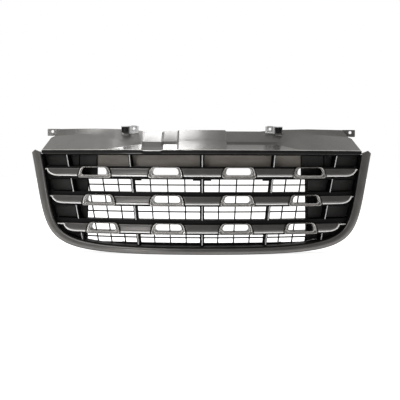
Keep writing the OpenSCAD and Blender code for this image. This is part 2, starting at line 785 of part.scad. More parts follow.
module shut_panel() {
    color("slategray") difference() {
        union() {
            panel_skin();
            intersection() {
                panel_foot();
                translate([-panel_half + 3, front_y0, 0]) cube([2 * panel_half - 6, 500, 500]);
            }
            for (s = [-1, 1]) {
                outer_tab(s);
                inner_tab(s);
            }
            for (x = SHUT_FIX) translate([x, shut_fix_y(x), rail_top + 1]) cylinder(h = 9, r = 4.5, $fn = round_fn);
        }
        for (s = [-1, 1]) {
            tab_hole(s * outer_hole_x, outer_tab_y, outer_tab_z, outer_hole_r);
            tab_hole(s * inner_hole_x, inner_tab_y, inner_tab_z, inner_hole_r);
        }
        for (x = SHUT_FIX) translate([x, shut_fix_y(x), rail_top - 5]) cylinder(h = 13, r = pilot_r, $fn = round_fn);
    }
}

module shut_panel_screws() {
    color("dimgray") for (x = SHUT_FIX)
        translate([x, shut_fix_y(x), rail_top - wall]) rotate([180, 0, 0]) screw_short();
}

module screw_short() {
    difference() {
        union() {
            cylinder(h = head_h, r = head_r, $fn = round_fn);
            translate([0, 0, -10]) cylinder(h = 10.5, r = screw_r, $fn = round_fn);
        }
        translate([0, 0, head_h - 1.4]) cylinder(h = 2, r = 1.5, $fn = 6);
    }
}

// ---- Spring nuts ---------------------------------------------------------------------------

// A folded strip round a tab's edge, drilled with the tab's hole. It hangs over the top edge.
module folded_strip(w, t, reach) {
    difference() {
        translate([-w / 2, -t / 2 - nut_t, -reach]) cube([w, t + 2 * nut_t, reach + nut_t]);
        translate([-w / 2 - 1, -t / 2 - 0.05, -reach - 1]) cube([w + 2, t + 0.1, reach + 1.05]);
    }
}

module inner_spring_nut(s) {
    z = inner_tab_z - tab_hole_drop;
    back = inner_tab_y + tab_t / 2 + nut_t;
    color("silver") difference() {
        union() {
            translate([s * inner_hole_x, inner_tab_y, inner_tab_z]) folded_strip(18, tab_t, 19);
            along_y(s * inner_hole_x, z, back - 0.5, back + 3, inner_hole_r + 2);
        }
        along_y(s * inner_hole_x, z, inner_tab_y - 20, inner_tab_y + 20, inner_hole_r);
    }
}

module left_spring_nut() { inner_spring_nut(LEFT); }
module right_spring_nut() { inner_spring_nut(RIGHT); }

module lower_spring_nuts() {
    z = lug_z + wall / 2;
    color("silver") for (s = [-1, 1]) difference() {
        union() {
            translate([s * lower_hole_x, lug_end_y, z]) rotate([-90, 0, 0]) folded_strip(14, wall, 17);
            translate([s * lower_hole_x, lug_y, z + wall / 2 + nut_t - 0.5])
                cylinder(h = 3.5, r = lower_hole_r + 1.8, $fn = round_fn);
        }
        translate([s * lower_hole_x, lug_y, 0]) cylinder(h = 60, r = lower_hole_r, $fn = round_fn);
    }
}

// ---- Screw groups --------------------------------------------------------------------------

module surround_screws() { screws(RIM_FIX); }
module bar_screws() { screws(BAR_FIX); }
module mesh_screws() { screws(MESH_FIX); }
module blanking_plate_screws() { screws(PLATE_FIX); }
module closing_panel_screws() { screws(PANEL_FIX); }

// ---- Nodes ---------------------------------------------------------------------------------

module place() { translate([0, -origin_y, 0]) children(); }

place() surround();
place() carrier_frame();
place() carrier_ribs();
place() upper_louvre();
place() middle_louvre();
place() lower_louvre();
place() mesh_insert();
place() shut_panel();
for (i = [0:2]) for (n = [0:4])
    place() bar_blade(i, n);
for (i = [0:2]) for (n = [0:3])
    place() slot_bezel(i, n);
place() blanking_plate();
place() left_closing_panel();
place() right_closing_panel();
place() left_spring_nut();
place() right_spring_nut();
place() lower_spring_nuts();
place() surround_screws();
place() bar_screws();
place() mesh_screws();
place() blanking_plate_screws();
place() closing_panel_screws();
place() shut_panel_screws();
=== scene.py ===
import math

import bmesh
import bpy
from mathutils import Matrix, Vector

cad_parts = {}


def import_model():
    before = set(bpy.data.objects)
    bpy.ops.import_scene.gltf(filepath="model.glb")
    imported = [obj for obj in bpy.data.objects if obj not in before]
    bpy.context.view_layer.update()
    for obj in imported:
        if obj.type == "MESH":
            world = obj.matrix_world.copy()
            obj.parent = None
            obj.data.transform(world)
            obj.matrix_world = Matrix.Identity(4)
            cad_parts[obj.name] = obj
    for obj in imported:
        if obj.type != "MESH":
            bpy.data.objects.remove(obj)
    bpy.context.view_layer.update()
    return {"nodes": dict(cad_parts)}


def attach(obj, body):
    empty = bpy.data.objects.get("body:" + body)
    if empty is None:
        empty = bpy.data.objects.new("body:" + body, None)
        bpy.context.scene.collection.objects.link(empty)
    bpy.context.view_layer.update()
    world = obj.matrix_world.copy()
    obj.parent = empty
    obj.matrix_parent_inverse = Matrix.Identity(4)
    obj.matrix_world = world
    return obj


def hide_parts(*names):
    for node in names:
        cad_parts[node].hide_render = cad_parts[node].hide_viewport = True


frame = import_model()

# The visual model of a car's front grille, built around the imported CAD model.
# Sizes are in millimetres up to the moment a mesh is made. A "depth" is measured behind the
# curved face, and front-view points are (x, z).

MM = 0.001
BODY = "root"

# ---- Sizes that the CAD source also uses ---------------------------------------------------

# The whole: width, height of the opening, radius of the face in plan, and its rake
GRILLE_W = 1112.0
HALF_W = GRILLE_W / 2
OPENING_H = 318.0
PLAN_R = 1250.0
RAKE_T = math.tan(math.radians(7))

# Surround: width of its painted face at the side and at the bottom, depth, wall, lean of the sides
FACE_SIDE, FACE_BOTTOM = 31.0, 19.5
SURROUND_DEPTH = 38.0
WALL = 3.0
SIDE_LEAN = 76.0
CORNER_IN = 11.0

# Bars: height, room above the first and below the last, lip (pale as a painted highlight), taper of the tips
BAR_NAMES = ("upper", "middle", "lower")
BAR_H = 25.5
TOP_GAP, BOTTOM_GAP = 67.0, 77.5
LIP_H, LIP_D = 4.8, 4.5
BAR_BACK_D = 20.0
TIP_TAPER = 45.0

# Slots, each with a bezel, and the dark gap round it
SLOT_W, SLOT_H = 111.0, 35.0
SLOT_TAPER = 9.0
SLOT_GAP = 3.0
TUNNEL_DEPTH = 58.0
INNER_SLOT_SHARE = 0.513  # of the way to the inner rib
OUTER_SLOT_SHARE = 0.583  # of the way from the inner rib to the outer one

# Carrier: front of the ribs, place of the outer rib at its foot, its lean, and where the inner rib
# lies between the middle and it; top of the rail; reach of the louvres above and below a bar
RIB_D = 20.0
OUTER_RIB_IN = 187.7
RIB_LEAN = 0.217
INNER_RIB_SHARE = 0.526
RAIL_TOP = OPENING_H - 9
LOUVRE_UP = (18.25, 25.25, 27.25)
LOUVRE_DOWN = (21.75, 18.75, 18.75)

# Shut panel: depth, rise, half width of the middle pad, skin, and its tabs and their holes
PANEL_DEPTH, PANEL_RISE = 112.0, 74.0
PAD_HALF = 74.0
SKIN = 2.6
TAB_T, TAB_H = 3.0, 24.0
TAB_W, INNER_TAB_W = 44.0, 32.0
TAB_ROOT, POCKET_W = 8.0, 25.0
OUTER_TAB_Z, INNER_TAB_Z = OPENING_H + 76, OPENING_H + 82
HOLE_DROP = 9.0
OUTER_HOLE_X, INNER_HOLE_X = 506.0, 221.0
OUTER_HOLE_R, INNER_HOLE_R = 5.0, 4.5


def design_y(x, z, d):
    """Y of the surface that lies d behind the face, before the origin is set."""
    return PLAN_R - math.sqrt((PLAN_R - d - RAKE_T * z) ** 2 - x * x)


OUTER_TAB_Y = design_y(OUTER_HOLE_X, OUTER_TAB_Z, PANEL_DEPTH - 4)
INNER_TAB_Y = design_y(INNER_HOLE_X, INNER_TAB_Z, PANEL_DEPTH - 14)
ORIGIN_Y = (OUTER_TAB_Y + TAB_T / 2) / 2


def on_face(x, z, d):
    return Vector((x, design_y(x, z, d) - ORIGIN_Y, z))


def lerp(a, b, t):
    return a + (b - a) * t


def lookup(x, table):
    """Straight-line interpolation in a table of (x, value)."""
    if x <= table[0][0]:
        return table[0][1]
    for (x0, v0), (x1, v1) in zip(table, table[1:]):
        if x <= x1:
            return v1 if x1 == x0 else lerp(v0, v1, (x - x0) / (x1 - x0))
    return table[-1][1]


def bar_z(i):
    return OPENING_H - TOP_GAP - i * (OPENING_H - TOP_GAP - BOTTOM_GAP) / 2


def rib_x(k, z):
    """X of rib k, from -2 at the left to 2 at the right, at a height."""
    share = (0, INNER_RIB_SHARE, 1)[abs(k)]
    return math.copysign(1, k) * (HALF_W - OUTER_RIB_IN + RIB_LEAN * z) * share


def slot_x(i, n):
    inner, outer = rib_x(1, bar_z(i)), rib_x(2, bar_z(i))
    x = inner * INNER_SLOT_SHARE if n in (1, 2) else inner + (outer - inner) * OUTER_SLOT_SHARE
    return -x if n < 2 else x


# ---- Outlines ------------------------------------------------------------------------------

# The surround's outer edge, from its top end to the middle of the bottom, as one Bezier curve
RIM = [Vector(p) for p in ((HALF_W, OPENING_H), (HALF_W - SIDE_LEAN, 0), (HALF_W - CORNER_IN, 0), (0, 0))]
RIM_STEPS = 36


def bezier(p, t):
    return (1 - t) ** 3 * p[0] + 3 * (1 - t) ** 2 * t * p[1] + 3 * (1 - t) * t * t * p[2] + t ** 3 * p[3]


def bezier_dir(p, t):
    start, middle, end = p[1] - p[0], p[2] - p[1], p[3] - p[2]
    return ((1 - t) ** 2 * start + 2 * (1 - t) * t * middle + t * t * end).normalized()


def face_w(t):
    """Width of the surround's face along RIM."""
    return FACE_BOTTOM + (FACE_SIDE - FACE_BOTTOM) * (1 + math.cos(math.pi * t)) / 2


def rim_point(t, share, extra):
    """A point inwards from RIM by a share of the face's width and an extra."""
    v = bezier_dir(RIM, t)
    return bezier(RIM, t) + (share * face_w(t) + extra) * Vector((v.y, -v.x))


INNER_TABLE = [(p.y, p.x) for p in (rim_point(i / RIM_STEPS, 1, 0) for i in range(RIM_STEPS, -1, -1))]


def opening_half(z):
    """Half width of the opening inside the surround at a height."""
    return lookup(z, INNER_TABLE)


def rounded_outline(points, radii, corner_steps, side_steps):
    """A closed outline with round corners, its straight sides cut into steps."""
    n, arcs = len(points), []
    for i in range(n):
        a, b, c, r = points[i - 1], points[i], points[(i + 1) % n], radii[i]
        u, v = (a - b).normalized(), (c - b).normalized()
        half = math.acos(u.dot(v)) / 2
        centre = b + (u + v).normalized() * r / math.sin(half)
        s, e = b + u * r / math.tan(half) - centre, b + v * r / math.tan(half) - centre
        a0, turn = math.atan2(s.y, s.x), math.atan2(s.x * e.y - s.y * e.x, s.dot(e))
        arcs.append([centre + r * Vector((math.cos(q), math.sin(q)))
                     for q in (a0 + turn * k / corner_steps for k in range(corner_steps + 1))])
    out = []
    for i, arc in enumerate(arcs):
        nxt, steps = arcs[(i + 1) % n][0], side_steps[i % len(side_steps)]
        out += arc + [arc[-1].lerp(nxt, k / steps) for k in range(1, steps)]
    return out


def loaf(low, high, half_low, half_high, r_low, r_high, e):
    """A round-cornered trapezium about (0, 0), grown outwards by e."""
    m = (half_low - half_high) / (high + low)
    k = math.sqrt(1 + m * m)
    pts = [(-(half_low + e * (k + m)), -low - e), (half_low + e * (k + m), -low - e),
           (half_high + e * (k - m), high + e), (-(half_high + e * (k - m)), high + e)]
    radii = (r_low + e, r_low + e, r_high + e, r_high + e)
    return rounded_outline([Vector(p) for p in pts], radii, 8, (12, 3))


def bezel_outline(e=0.0):
    return loaf(SLOT_H / 2, SLOT_H / 2, SLOT_W / 2, SLOT_W / 2 - SLOT_TAPER, 7, 17, e)


def hole_outline(e=0.0):
    half = SLOT_W / 2 - 12
    return loaf(SLOT_H / 2 - 9, SLOT_H / 2 - 3.2, half, half - SLOT_TAPER * 0.75, 8, 10, e)


# ---- Meshes --------------------------------------------------------------------------------


class Shape:
    """Collects points in millimetres and faces with a material number."""

    def __init__(self):
        self.verts, self.faces, self.mats = [], [], []

    def grid(self, rows, close_rows=False, close_cols=False, mat=0, caps=False):
        """Quads between rows of points. mat is a number, or a function of (row, column)."""
        off, n, m = len(self.verts), len(rows), len(rows[0])
        for r in rows:
            self.verts += r
        for i in range(n if close_rows else n - 1):
            for j in range(m if close_cols else m - 1):
                i2, j2 = (i + 1) % n, (j + 1) % m
                self.faces.append([off + i * m + j, off + i2 * m + j, off + i2 * m + j2, off + i * m + j2])
                self.mats.append(mat(i, j) if callable(mat) else mat)
        if caps:
            for i in (0, n - 1):
                self.faces.append([off + i * m + j for j in range(m)])
                self.mats.append(mat(min(i, n - 2), 0) if callable(mat) else mat)

    def box(self, lo, hi, r, mat=0):
        """A block with its edges cut at 45 degrees."""
        bm = bmesh.new()
        bmesh.ops.create_cube(bm, size=1)
        size = [h - l for l, h in zip(lo, hi)]
        for v in bm.verts:
            v.co = Vector([l + s * (c + 0.5) for l, s, c in zip(lo, size, v.co)])
        bmesh.ops.bevel(bm, geom=list(bm.edges), offset=min(r, min(size) * 0.4), segments=2, profile=0.5,
                        affect="EDGES")
        self.take(bm, mat)

    def take(self, bm, mat=0):
        bm.verts.index_update()
        off = len(self.verts)
        self.verts += [v.co.copy() for v in bm.verts]
        self.faces += [[v.index + off for v in f.verts] for f in bm.faces]
        self.mats += [mat] * len(bm.faces)
        bm.free()

    def drilled_plate(self, x, z, y0, y1, x_mid, half_w, z_low, z_high, r_hole, mat=0):
        """An upright plate with a round hole at x, z, its rims softened."""
        low, high, corner, c = x_mid - half_w - x, x_mid + half_w - x, 2.5, 0.5
        z0, z1 = z_low - z, z_high - z
        rect = [Vector(p) for p in ((low, z0), (high, z0), (high, z1), (low, z1))]
        outer = rounded_outline(rect, (corner,) * 4, 8, (12, 8))
        hole = [p.normalized() * r_hole for p in outer]

        def ring(points, grow, y):
            return [Vector((x + p.x * grow, y, z + p.y * grow)) for p in points]

        shrink = 1 - c / half_w
        widen = 1 + c / r_hole
        edge = [ring(outer, shrink, y0), ring(outer, 1, y0 + c), ring(outer, 1, y1 - c),
                ring(outer, shrink, y1)]
        bore = [ring(hole, widen, y1), ring(hole, 1, y1 - c), ring(hole, 1, y0 + c), ring(hole, widen, y0)]
        self.grid(edge + bore, close_rows=True, close_cols=True, mat=mat)

    def object(self, name, materials, replaces=(), sharp=35):
        mesh = bpy.data.meshes.new(name)
        mesh.from_pydata([v * MM for v in self.verts], [], self.faces)
        for m in materials:
            mesh.materials.append(m)
        mesh.polygons.foreach_set("material_index", self.mats)
        bm = bmesh.new()
        bm.from_mesh(mesh)
        bmesh.ops.remove_doubles(bm, verts=bm.verts, dist=1e-6)
        bmesh.ops.dissolve_degenerate(bm, edges=bm.edges, dist=1e-7)
        bmesh.ops.recalc_face_normals(bm, faces=bm.faces)
        bm.to_mesh(mesh)
        bm.free()
        mesh.polygons.foreach_set("use_smooth", [True] * len(mesh.polygons))
        mesh.set_sharp_from_angle(angle=math.radians(sharp))
        obj = bpy.data.objects.new(name, mesh)
        bpy.context.scene.collection.objects.link(obj)
        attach(obj, BODY)
        if replaces:
            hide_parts(*replaces)
        return obj


# ---- Materials -----------------------------------------------------------------------------


def material(name, dark, light, rough, metallic=0.0, specular=0.5, coat=0.0, scale=18.0, grain=400.0,
             bump=0.03, rough_spread=0.06, streak=(1, 1, 1)):
    """A mottled colour between two greys, uneven roughness and a fine grained surface."""
    mat = bpy.data.materials.new(name)
    mat.use_nodes = True
    nodes, links = mat.node_tree.nodes, mat.node_tree.links
    shader = nodes["Principled BSDF"]
    shader.inputs["Metallic"].default_value = metallic
    shader.inputs["Specular IOR Level"].default_value = specular
    shader.inputs["Coat Weight"].default_value = coat
    shader.inputs["Coat Roughness"].default_value = 0.12
    place = nodes.new("ShaderNodeTexCoord")
    stretch = nodes.new("ShaderNodeMapping")
    stretch.inputs["Scale"].default_value = streak
    links.new(place.outputs["Object"], stretch.inputs["Vector"])

    def noise(size, detail):
        node = nodes.new("ShaderNodeTexNoise")
        node.inputs["Scale"].default_value = size
        node.inputs["Detail"].default_value = detail
        links.new(stretch.outputs["Vector"], node.inputs["Vector"])
        return node

    broad, fine = noise(scale, 4), noise(grain, 2)
    ramp = nodes.new("ShaderNodeValToRGB")
    ramp.color_ramp.elements[0].position, ramp.color_ramp.elements[1].position = 0.32, 0.68
    ramp.color_ramp.elements[0].color = (*dark, 1)
    ramp.color_ramp.elements[1].color = (*light, 1)
    links.new(broad.outputs["Fac"], ramp.inputs["Fac"])
    links.new(ramp.outputs["Color"], shader.inputs["Base Color"])
    spread = nodes.new("ShaderNodeMapRange")
    spread.inputs["To Min"].default_value = rough - rough_spread
    spread.inputs["To Max"].default_value = rough + rough_spread
    links.new(fine.outputs["Fac"], spread.inputs["Value"])
    links.new(spread.outputs["Result"], shader.inputs["Roughness"])
    ripple = nodes.new("ShaderNodeBump")
    ripple.inputs["Strength"].default_value = bump
    ripple.inputs["Distance"].default_value = 0.0006
    links.new(fine.outputs["Fac"], ripple.inputs["Height"])
    links.new(ripple.outputs["Normal"], shader.inputs["Normal"])
    return mat


def grey(value, warmth=0.0):
    return (value * (1 + warmth), value, value * (1 - warmth))


PAINT = material("surround_paint_satin", grey(0.15, 0.04), grey(0.18, 0.04), 0.36, metallic=0.7,
                 coat=0.2, bump=0.02)
# Near black: painted shade on the surround's outer rim and on the shut panel's front lip face, and unpainted
# moulding on the surround's hidden inside.
UNPAINTED_AND_SHADE = material("unpainted_and_painted_shade", grey(0.006), grey(0.012), 0.5, specular=0.2)
BAR = material("bar_paint_satin", grey(0.14, 0.04), grey(0.165, 0.04), 0.34, metallic=0.7,
               coat=0.15, bump=0.02)
# Near white on the bars' lower lip: a painted highlight along the lip.
BAR_LIP_HIGHLIGHT = material("bar_lip_painted_highlight", grey(0.86, 0.01), grey(0.92, 0.01), 0.25, metallic=0.2, coat=0.4, bump=0.01,
               rough_spread=0.03)
PLATING = material("bezel_plating", grey(0.42, 0.03), grey(0.5, 0.03), 0.22, metallic=0.8, coat=0.3,
                   bump=0.012, rough_spread=0.03)
TUNNEL = material("tunnel_dark", grey(0.008), grey(0.014), 0.35, specular=0.3)
CARRIER = material("carrier_black", grey(0.003), grey(0.006), 0.5, specular=0.15, bump=0.12)
MESH = material("mesh_black", grey(0.003), grey(0.006), 0.5, specular=0.1, bump=0.1)
PANEL = material("panel_grey_satin", grey(0.1, 0.04), grey(0.12, 0.04), 0.23, metallic=0.35, specular=0.7,
                 coat=0.25, grain=700, bump=0.05)
# Darker than the panel grey: painted shade in the notch's recess; the higher roughness makes it matt.
RECESS_SHADE = material("panel_recess_matt_painted_shade", grey(0.085, 0.04), grey(0.1, 0.04), 0.6, specular=0.3, grain=700,
                  bump=0.08)
# Pale grey on the shut panel's front chamfer: a painted highlight along its front edge.
PANEL_EDGE_HIGHLIGHT = material("panel_edge_painted_highlight", grey(0.34, 0.03), grey(0.5, 0.03), 0.3, metallic=0.2, coat=0.2,
                  grain=700, bump=0.05)
PLATE = material("plate_brown", (0.29, 0.26, 0.232), (0.38, 0.342, 0.306), 0.4, specular=0.4,
                 streak=(1, 1, 3), bump=0.05)
CLOSING = material("closing_black", grey(0.028, 0.03), grey(0.045, 0.03), 0.5, specular=0.3, bump=0.15)
ZINC = material("zinc_bright", grey(0.68), grey(0.78), 0.26, metallic=1.0, scale=60, bump=0.04)
SCREW = material("screw_dark", grey(0.1), grey(0.15), 0.35, metallic=0.9, scale=80, bump=0.03)
# Pale grey on the rib noses and on the shut panel's inner tabs: a painted highlight.
PALE_HIGHLIGHT = material("pale_satin_painted_highlight", grey(0.72), grey(0.8), 0.3, coat=0.2, bump=0.02)

# ---- Surround ------------------------------------------------------------------------------

# The section from the outer wall's rear, over the crowned face, to the inner return, as
# (share of the face's width, extra offset inwards, depth). The rows outside PAINTED_ROWS are near black:
# the outer wall and its rounded rim as painted shade, a dark line along the outer edge, and the
# shell's hidden inside as unpainted moulding.
SURROUND_SECTION = [
    (0, 0, SURROUND_DEPTH), (0, 0, 24), (0, 0, 9), (0, 0.35, 6.6), (0, 1.0, 4.8), (0, 1.9, 3.3),
    (0, 2.9, 2.3),
    (0.2, 0, 1.5), (0.28, 0, 0.8), (0.38, 0, 0.3), (0.5, 0, 0.05), (0.62, 0, 0.15), (0.73, 0, 0.5),
    (0.83, 0, 1.1), (0.91, 0, 2.0), (0.965, 0, 3.2), (0.995, 0, 4.8), (1, 0, 7), (1, 0, 16),
    (1, -WALL, 16), (1, -WALL, 8), (0.6, 0, 3.4), (0, WALL + 0.3, 8), (0, WALL, 14),
    (0, WALL, SURROUND_DEPTH)]
PAINTED_ROWS = range(6, len(SURROUND_SECTION) - 5)


def surround_piece():
    """The shell is swept past its top ends, and then cut along the gables' two slopes."""
    steps, rise = 88, (30, 15)

    def station(t, up, side):
        row = []
        for share, extra, d in SURROUND_SECTION:
            p = rim_point(t, share, extra)
            row.append(on_face(side * p.x, p.y + up, d))
        return row

    half = [(0, up) for up in rise] + [(k / steps, 0) for k in range(steps + 1)]
    rows = [station(t, up, 1) for t, up in half] + [station(t, up, -1) for t, up in half[-2::-1]]
    shape = Shape()
    # Rows outside PAINTED_ROWS get the near-black finish: painted shade on the outer rim, unpainted moulding
    # inside.
    shape.grid(rows, close_cols=True, caps=True, mat=lambda i, j: 0 if j in PAINTED_ROWS else 1)
    obj = shape.object("surround_shell", [PAINT, UNPAINTED_AND_SHADE], ["surround"], sharp=40)
    top = OPENING_H + 4
    gable = [(HALF_W + 8, top - 16), (HALF_W - 14, top), (HALF_W - 40, top - 10)]
    bm = bmesh.new()
    bm.from_mesh(obj.data)
    for side in (1, -1):
        for (x0, z0), (x1, z1) in zip(gable, gable[1:]):
            normal = Vector((z0 - z1, 0, x1 - x0))
            normal = (normal if normal.z > 0 else -normal).normalized()
            normal.x *= side
            here = [f for f in bm.faces if f.calc_center_median().x * side > 0]
            corners = list(dict.fromkeys(v for f in here for v in f.verts))
            edges = list(dict.fromkeys(e for f in here for e in f.edges))
            on_slope = Vector((side * x0, 0, z0)) * MM
            bmesh.ops.bisect_plane(bm, geom=corners + edges + here, dist=1e-7, plane_co=on_slope,
                                   plane_no=normal, clear_outer=True)
            rim = [e for e in bm.edges if e.is_boundary]
            if rim:
                bmesh.ops.holes_fill(bm, edges=rim, sides=0)
    bmesh.ops.recalc_face_normals(bm, faces=bm.faces)
    bm.to_mesh(obj.data)
    bm.free()
    obj.data.polygons.foreach_set("use_smooth", [True] * len(obj.data.polygons))
    obj.data.set_sharp_from_angle(angle=math.radians(40))


# ---- Bars ----------------------------------------------------------------------------------

# The section of a bar from its rear top edge over the face and lip to the rear bottom edge and
# back inside. "top" and "low" rows are offsets from the top or bottom edge, "face" rows are shares
# of the height between the lip and the top.
BAR_SECTION = [
    ("top", 0, BAR_BACK_D), ("top", 0, 13.4), ("top", 0.25, 12.2), ("top", 0.9, 11.2), ("top", 2.0, 10.5),
    ("face", 0.86, 10.1), ("face", 0.7, 9.5), ("face", 0.5, 8.95), ("face", 0.3, 8.5), ("face", 0.14, 8.25),
    ("face", 0.05, 8.3), ("low", LIP_H + 0.7, 8.9), ("low", LIP_H + 0.15, 8.3), ("low", LIP_H - 0.1, 6.4),
    ("low", LIP_H - 0.7, 5.2), ("low", LIP_H - 1.6, 4.6), ("low", 2.0, LIP_D), ("low", 0.9, 4.8),
    ("low", 0.25, 5.8), ("low", 0, 7.6), ("low", 0, BAR_BACK_D), ("low", 2.5, BAR_BACK_D), ("low", 2.5, 12.5),
    ("low", LIP_H + 2.4, 11.4), ("top", 3.2, 13.4), ("top", 2.5, BAR_BACK_D)]
# The lip's rows, which take the pale painted highlight.
LIP_HIGHLIGHT_ROWS = range(12, 19)


def half_at(outline, z):
    """Half width of an outline at a height."""
    best = 0.0
    for a, b in zip(outline, outline[1:] + outline[:1]):
        if a.x > 0 and b.x > 0 and (a.y - z) * (b.y - z) <= 0 and a.y != b.y:
            best = max(best, lerp(a.x, b.x, (z - a.y) / (b.y - a.y)))
    return best


GAP_EDGE = bezel_outline(SLOT_GAP)


def bar_row(low, inward, top, x_of=None, sink=0.0):
    """One section: low and top are the front-view edges, and inward is the lip's direction."""
    row = []
    for kind, a, d in BAR_SECTION:
        if kind == "top":
            p = Vector((top.x, top.y - a)) if x_of else top + (low + inward * 2.5 - top) * min(a / BAR_H, 1)
        elif kind == "low":
            p = low + inward * a
        else:
            p = (low + inward * (LIP_H + 1)).lerp(top, a)
        x = x_of(p.y) if x_of else p.x
        front = 13 - d
        row.append(on_face(x, p.y, d + (sink * front / 8 if front > 0 else 0)))
    return row


def bar_blades(i):
    z, h = bar_z(i), BAR_H / 2
    tip = opening_half(z - h) - 5
    xs = [slot_x(i, n) for n in range(4)]
    low, top, up = Vector((0, z - h)), Vector((0, z + h)), Vector((0, 1))

    def edge(n, side):
        return lambda zz: xs[n] + side * half_at(GAP_EDGE, zz - z)

    def straight(xa, xb, n, roll_a=True, roll_b=True):
        rows = []
        us = [0, 0.004, 0.012, 0.03] + [k / n for k in range(1, n)] + [0.97, 0.988, 0.996, 1]
        for u in us:
            sink = max(roll_a * max(0, 1 - u / 0.012), roll_b * max(0, 1 - (1 - u) / 0.012)) * 1.6
            rows.append(bar_row(low, up, top, lambda zz: lerp(xa(zz), xb(zz), u), sink))
        return rows

    def blade(number, rows, side=0):
        shape = Shape()
        # The lip's rows are painted pale as a highlight; the rest takes the bar paint.
        shape.grid(rows, close_cols=True, caps=True, mat=lambda r, c: 1 if c in LIP_HIGHLIGHT_ROWS else 0)
        if side:
            peg_z, xa, xb = z + h - 5.5, tip - 7, opening_half(z + h) - 5
            peg = [(xa, peg_z), (xb, peg_z + 0.8), (xb, peg_z + 3.6), (xa, peg_z + 4)]
            prism(shape, [(side * px, pz) for px, pz in peg], 11, 16.5, 0.6, 1)
        node = f"{BAR_NAMES[i]}_bar_blade_{number}"
        shape.object(f"{node}_painted", [BAR, BAR_LIP_HIGHLIGHT], [node], sharp=38)

    for n in range(3):
        blade(n + 2, straight(edge(n, 1), edge(n + 1, -1), 22))
    tip_edge = ((0, h - 2.5), (6, -h * 0.5), (20, -h), (TIP_TAPER, -h))
    curve = [Vector((tip - a, z + b)) for a, b in tip_edge]
    rows = straight(edge(3, 1), lambda zz: tip - TIP_TAPER, 10, roll_b=False)
    for k in range(1, 17):
        s = 1 - k / 16
        along = bezier_dir(curve, max(s, 1e-4))
        top_x = lerp(tip - 2.2, tip - TIP_TAPER, s ** 1.15)
        rows.append(bar_row(bezier(curve, s), Vector((along.y, -along.x)), Vector((top_x, z + h))))
    blade(5, rows, 1)
    blade(1, [[Vector((-v.x, v.y, v.z)) for v in r] for r in rows], -1)


def prism(shape, points, d0, d1, soft, mat=0):
    """A front-view outline made solid between two depths, with softened front and rear rims."""
    centre = sum((Vector(p) for p in points), Vector((0, 0))) / len(points)

    def ring(d, inset):
        out = []
        for p in points:
            v = Vector(p) - centre
            q = centre + v * (1 - inset / max(v.length, inset * 2))
            out.append(on_face(q.x, q.y, d))
        return out

    rings = [ring(d0, soft), ring(d0 + soft, 0), ring(d1 - soft, 0), ring(d1, soft)]
    shape.grid(rings, close_cols=True, caps=True, mat=mat)


# ---- Bezels --------------------------------------------------------------------------------

# Rows over a bezel's face, from its outer rim to the hole: (share of the way, depth)
BEZEL_FACE = [
    (0, 6.6), (0.012, 5.4), (0.04, 4.5), (0.09, 4.05), (0.16, 3.95), (0.3, 4.2), (0.44, 4.7), (0.55, 5.4),
    (0.6, 6.1), (0.66, 6.15), (0.69, 5.2), (0.72, 3.6), (0.76, 2.6), (0.81, 2.1), (0.87, 2.0), (0.93, 2.3),
    (0.975, 2.9), (1, 3.9)]


def bezel_piece(i, n):
    x, z = slot_x(i, n), bar_z(i)
    outer, hole = bezel_outline(), hole_outline()
    tunnel, back, end = hole_outline(2.4), BAR_BACK_D - 0.2, 2 + TUNNEL_DEPTH

    def ring(points, d):
        return [on_face(x + p.x, z + p.y, d) for p in points]

    rows = [ring(outer, back), ring(outer, 13), ring(outer, 9)]
    rows += [ring([a.lerp(b, f) for a, b in zip(outer, hole)], d) for f, d in BEZEL_FACE]
    bright = len(rows)
    rows += [ring(hole, d) for d in (7, 12, 20, 34, 48, end - 0.8)]
    inner = bezel_outline(-2.4)
    rows += [ring(hole_outline(0.6), end), ring(hole_outline(1.8), end), ring(tunnel, end - 0.8),
             ring(tunnel, 36), ring(tunnel, back), ring(inner, back)]
    shape = Shape()
    shape.grid(rows, close_rows=True, close_cols=True, mat=lambda r, c: 0 if 0 < r < bright else 1)
    for side in (-1, 1):  # snap tabs under the tunnel
        tx, tz = x + side * 20, z - SLOT_H / 2 + 9 - 2.4 - 1.7
        ty = design_y(tx, tz, 23) + 1.8 - ORIGIN_Y
        shape.box((tx - 5, ty, tz), (tx + 5, ty + 5, tz + 2.2), 0.5, 1)
    node = f"{BAR_NAMES[i]}_slot_bezel_{n + 1}"
    shape.object(f"{node}_plated", [PLATING, TUNNEL], [node], sharp=45)


# ---- Rib noses -----------------------------------------------------------------------------


def rib_noses():
    """Rounded strips along the front of the ribs, one for each open row, pale as a painted highlight along
    the rib edges.
    """
    shape = Shape()
    highs = [bar_z(i) + LOUVRE_UP[i] for i in range(3)]
    lows = [bar_z(i) - LOUVRE_DOWN[i] for i in range(3)]
    foot = 28
    starts = [highs[0] - 1, highs[1] - 1, highs[2] - 1, foot]
    ends = [RAIL_TOP - 4, lows[0] + 1, lows[1] + 1, lows[2] + 1]
    arc = [(-1, 0.0), (-0.92, 0.45), (-0.7, 0.78), (-0.35, 0.95), (0, 1.0), (0.35, 0.95), (0.7, 0.78),
           (0.92, 0.45), (1, 0.0)]
    reach, half = 2.6, 1.7
    for z0, z1 in zip(starts, ends):
        for k in range(-2, 3):
            rows = []
            for s in range(7):
                z = lerp(z0, z1, s / 6)
                rows.append([on_face(rib_x(k, z) + a * half, z, RIB_D + 0.6 - b * reach) for a, b in arc])
            shape.grid(rows, close_cols=True, caps=True)
    shape.object("rib_noses", [PALE_HIGHLIGHT])


# ---- Shut panel ----------------------------------------------------------------------------

